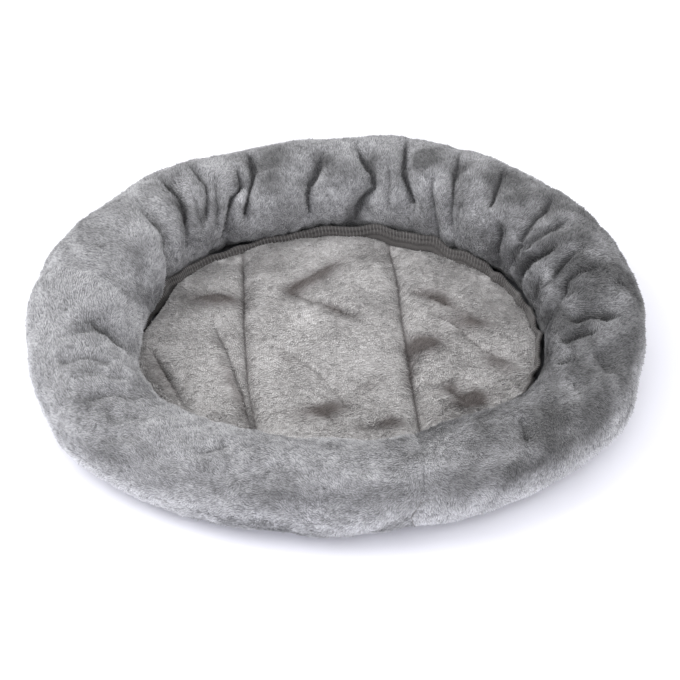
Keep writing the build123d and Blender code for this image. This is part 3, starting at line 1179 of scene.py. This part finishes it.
OVERLOCK_RADIUS = 0.00038
LOOP_PATH = [(-2.5, -9.6), (-1.4, -5.6), (-2.3, -2.8), (-1.3, -0.1), (0.2, 0.5), (1.4, -0.6), (1.5, -4.0),
             (0.2, 0.4)]
loops = 400
count = loops * len(LOOP_PATH)
index = (np.arange(count) / count * len(band_step)).astype(int)
across = np.tile([p[0] for p in LOOP_PATH], loops) / 1000
rise = np.tile([p[1] for p in LOOP_PATH], loops) / 1000
reach = rise * np.sin(band_lean[index]) + across * np.cos(band_lean[index])
height = band_top[index] + rise * np.cos(band_lean[index]) - across * np.sin(band_lean[index])
fine_turn = np.arange(count) / count * 2 * math.pi
fine_out = np.stack([np.cos(fine_turn), np.sin(fine_turn)], -1)
fine_centre, fine_radius = oval_centres(fine_out)
fine_wave = np.interp(fine_turn, band_step, band_wave)
plan = fine_centre + fine_out * (fine_radius - BAND_INSET + fine_wave + reach)[:, None]
wound = np.concatenate([plan, height[:, None]], -1)
overlock = thread_curve("overlock_thread", [wound], OVERLOCK_RADIUS, True)
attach(overlock, "root")
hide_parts("overlock_stitching")
print("overlock loops", loops)

# %% [markdown]
# ## Quilting stitches
# A lockstitch shows as a row of short raised dashes. Each dash follows the seam and sits on the
# height of the cloth there, at a pitch of 6.5 mm.

# %% Stitches along the two quilting seams
STITCH_PITCH = 0.0065
STITCH_SHAPE = [0, 0.0012, 0.0030, 0.0042]  # along the seam: down, up, along, down again
for side, line in zip(("left", "right"), QUILT_LINES):
    runs = []
    lengths = np.linalg.norm(np.diff(line, axis=0), axis=1)
    starts = np.concatenate([[0], np.cumsum(lengths)])
    for start in np.arange(0.004, starts[-1] - 0.006, STITCH_PITCH):
        ends = start + np.array(STITCH_SHAPE)
        spots = np.stack([np.interp(ends, starts, line[:, i]) for i in (0, 1)], -1)
        if edge_gap(spots).min() < 0.004:
            continue
        z = base_height(spots) + [0.0001, 0.0009, 0.0009, 0.0001]
        runs.append(np.concatenate([spots, z[:, None]], -1))
    row = thread_curve(f"quilting_thread_{side}", runs, THREAD_RADIUS, False)
    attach(row, "root")
    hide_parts(f"quilt_stitching_{side}")
    print("quilting stitches", len(runs))

# %% [markdown]
# ## Threads of the cross seams
# The two strips are joined from inside, so their thread is buried in the pile. It follows the
# cross seam round the tube, a few millimetres below the surface.

# %% Threads of the two cross seams
for side, turns in (("left", LEFT_SEAM), ("front", FRONT_SEAM)):
    around = np.linspace(0, 2 * math.pi, 241)[:-1]
    heading = seam_heading(around, turns)
    spots = tube_point(heading, around)
    inner = tube_point(heading, around + math.pi)
    middle = (spots + inner) / 2
    away = spots - middle
    away /= np.linalg.norm(away, axis=1)[:, None]
    sink = 0.0036 + 0.0004 * np.sin(around * 60)
    loop = spots - away * sink[:, None]
    thread = thread_curve(f"cover_seam_thread_plush_{side}", [loop], THREAD_RADIUS, True)
    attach(thread, "root")
    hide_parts(f"cover_seam_thread_{side}")

# %% [markdown]
# ## The underside
# A plain woven polyester cloth closes the bed below. It is cut as an oval, hemmed, and whipped
# to the ring. It lies flat on the floor, so it is a thin sheet that ripples only by a hair.

# %% Underside cloth
UNDERSIDE_REACH = 0.0200  # how far the cloth runs out past the middle line


def underside_gap(plan):
    return UNDERSIDE_REACH - heading_and_offset(plan)[1]


under_mesh = oval_grid("underside", 96, underside_gap, 0)
points = get_points(under_mesh)
edge = underside_gap(points[:, :2])
ripple = 0.00012 * smooth_random(points[:, :2], 0.030, 61)
hem = 0.00025 * np.exp(-((edge - 0.006) / 0.0012)**2)
points[:, 2] = 0.0009 + np.clip(ripple - hem, -0.0003, 0.0002)
set_points(under_mesh, points)
share = (points[:, :2] - points[:, :2].min(axis=0)) / np.ptp(points[:, :2], axis=0) * 0.98 + 0.01
under_mesh.uv_layers.new(name="OFBake").uv.foreach_set(
    "vector", share[loop_vertices(under_mesh)].astype(np.float32).ravel())
underside = add_object("underside_cloth", under_mesh)
solid = underside.modifiers.new("thickness", "SOLIDIFY")
solid.thickness = 0.0006
solid.offset = -1
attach(underside, "root")
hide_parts("base_underside")

# %% [markdown]
# ## Materials
# Plush is polyester, knitted and sheared. The tips of its pile catch the light and its roots are
# in shade, so the colour is painted darker at the roots than at the tips, as painted shade. A little
# sheen gives the soft bright rim that pile shows when it is seen edge on.


# %% Plush
def plush_material(name, tip, tip_dark, root, root_dark):
    """Polyester plush. The shade attribute is painted shade, from nap laid smooth to nap brushed back."""
    material, tree = new_material(name)
    pile = add_node(tree, "ShaderNodeAttribute", {"attribute_name": "pile"})
    shade = add_node(tree, "ShaderNodeAttribute", {"attribute_name": "shade"})
    coords = add_node(tree, "ShaderNodeTexCoord")
    tufts = add_node(tree, "ShaderNodeTexNoise", {"Scale": 260.0, "Detail": 2.0},
                     {"Vector": coords.outputs["Object"]})
    patch = add_node(tree, "ShaderNodeTexNoise", {"Scale": 22.0, "Detail": 3.0},
                     {"Vector": coords.outputs["Object"]})
    mixed = add_node(tree, "ShaderNodeMath", {"operation": "MULTIPLY_ADD", 1: 0.16},
                     {0: patch.outputs[0], 2: shade.outputs["Fac"]})
    painted_shade_level = add_node(tree, "ShaderNodeMath", {"operation": "SUBTRACT", 1: 0.08, "use_clamp": True},
                     {0: mixed.outputs[0]})
    # Painted shade: each colour goes from its lit copy to a darker shaded copy by the shade attribute.
    ends = add_node(tree, "ShaderNodeMix", {"data_type": "RGBA", 6: srgb(tip), 7: srgb(tip_dark)},
                    {0: painted_shade_level.outputs[0]})
    shaded_root_colour = add_node(tree, "ShaderNodeMix", {"data_type": "RGBA", 6: srgb(root), 7: srgb(root_dark)},
                    {0: painted_shade_level.outputs[0]})
    grain = add_node(tree, "ShaderNodeMath", {"operation": "MULTIPLY_ADD", 1: 0.5, 2: -0.25},
                     {0: tufts.outputs[0]})
    climb = add_node(tree, "ShaderNodeMath", {"operation": "ADD", "use_clamp": True},
                     {0: pile.outputs["Fac"], 1: grain.outputs[0]})
    # Painted shade within the pile: colour runs from the darker root at pile 0 up to the tip.
    colour = add_node(tree, "ShaderNodeMix", {"data_type": "RGBA"},
                      {0: climb.outputs[0], 6: shaded_root_colour.outputs[2], 7: ends.outputs[2]})
    finish_material(tree, {"Roughness": 0.9, "Sheen Weight": 0.35, "Sheen Roughness": 0.45,
                           "Specular IOR Level": 0.2}, {"Base Color": colour.outputs[2]})
    return material


# Tip and root colours, each with a darker copy: the darker copies and the darker roots are painted shade.
gray_plush = plush_material("polyester_plush_gray", "#ececef", "#828283", "#7e7e80", "#404041")
taupe_plush = plush_material("polyester_plush_taupe", "#efeeee", "#7e7876", "#a3a09f", "#4f4a48")
for piece in (cover_front, cover_back):
    piece.data.materials.clear()
    piece.data.materials.append(gray_plush)
base_mesh.materials.append(taupe_plush)

# %% [markdown]
# ## The other fabrics
# Thread, knitted backing, loose fibre and woven cloth differ in fineness and in direction. One
# noise pattern, stretched and scaled, serves the first three, and two waves give the weave.

# %% Thread, band, filling and underside
def cloth_material(name, light, dark, scale, stretch, roughness, bump):
    """A fabric with fine ribs or fibres: light and dark by a stretched noise, with some bump."""
    material, tree = new_material(name)
    coords = add_node(tree, "ShaderNodeTexCoord")
    mapping = add_node(tree, "ShaderNodeMapping", {"Scale": stretch}, {"Vector": coords.outputs["Object"]})
    noise = add_node(tree, "ShaderNodeTexNoise", {"Scale": scale, "Detail": 3.0},
                     {"Vector": mapping.outputs[0]})
    colour = add_node(tree, "ShaderNodeMix", {"data_type": "RGBA", 6: srgb(dark), 7: srgb(light)},
                      {0: noise.outputs[0]})
    rough = add_node(tree, "ShaderNodeBump", {"Strength": bump, "Distance": 0.0004},
                     {"Height": noise.outputs[0]})
    finish_material(tree, {"Roughness": roughness, "Sheen Weight": 0.15},
                    {"Base Color": colour.outputs[2], "Normal": rough.outputs[0]})
    return material


spun_thread = cloth_material("spun_polyester_thread", "#8c8988", "#5f5d5c", 900.0, (1, 1, 1), 0.75, 0.5)
# The band's colours are partly the knit's own dark gray and partly painted shade for the dim gap between
# ring and base.
shaded_knit_edge = cloth_material("overlocked_knit_backing", "#5a5755", "#353332", 700.0, (1, 1, 1), 0.85, 0.8)
fibre = cloth_material("polyester_fibre_filling", "#f2f2f0", "#cfcfcc", 120.0, (1, 1, 3), 0.95, 1.0)


def weave_material(name, light, dark, pitch):
    """Plain woven cloth: two sets of threads, one over the other, at their real spacing."""
    material, tree = new_material(name)
    coords = add_node(tree, "ShaderNodeTexCoord")
    warp = add_node(tree, "ShaderNodeTexWave", {"Scale": 0.314 / pitch, "bands_direction": "X"},
                    {"Vector": coords.outputs["Object"]})
    weft = add_node(tree, "ShaderNodeTexWave", {"Scale": 0.314 / pitch, "bands_direction": "Y"},
                    {"Vector": coords.outputs["Object"]})
    height = add_node(tree, "ShaderNodeMath", {"operation": "MAXIMUM"},
                      {0: warp.outputs["Fac"], 1: weft.outputs["Fac"]})
    colour = add_node(tree, "ShaderNodeMix", {"data_type": "RGBA", 6: srgb(dark), 7: srgb(light)},
                      {0: height.outputs[0]})
    bump = add_node(tree, "ShaderNodeBump", {"Strength": 0.6, "Distance": 0.0002},
                    {"Height": height.outputs[0]})
    finish_material(tree, {"Roughness": 0.8}, {"Base Color": colour.outputs[2], "Normal": bump.outputs[0]})
    return material


woven = weave_material("woven_polyester_underside", "#6f7074", "#4d4e52", 0.0008)
under_mesh.materials.append(woven)
filling.data.materials.append(fibre)
for pad in pads:
    pad.data.materials.append(fibre)
band.data.materials.append(shaded_knit_edge)
for name in ("overlock_thread", "quilting_thread_left", "quilting_thread_right",
             "cover_seam_thread_plush_left", "cover_seam_thread_plush_front"):
    bpy.data.objects[name].data.materials.append(spun_thread)
hem_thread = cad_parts["underside_seam_thread"]
hem_thread.data.materials.clear()
hem_thread.data.materials.append(spun_thread)
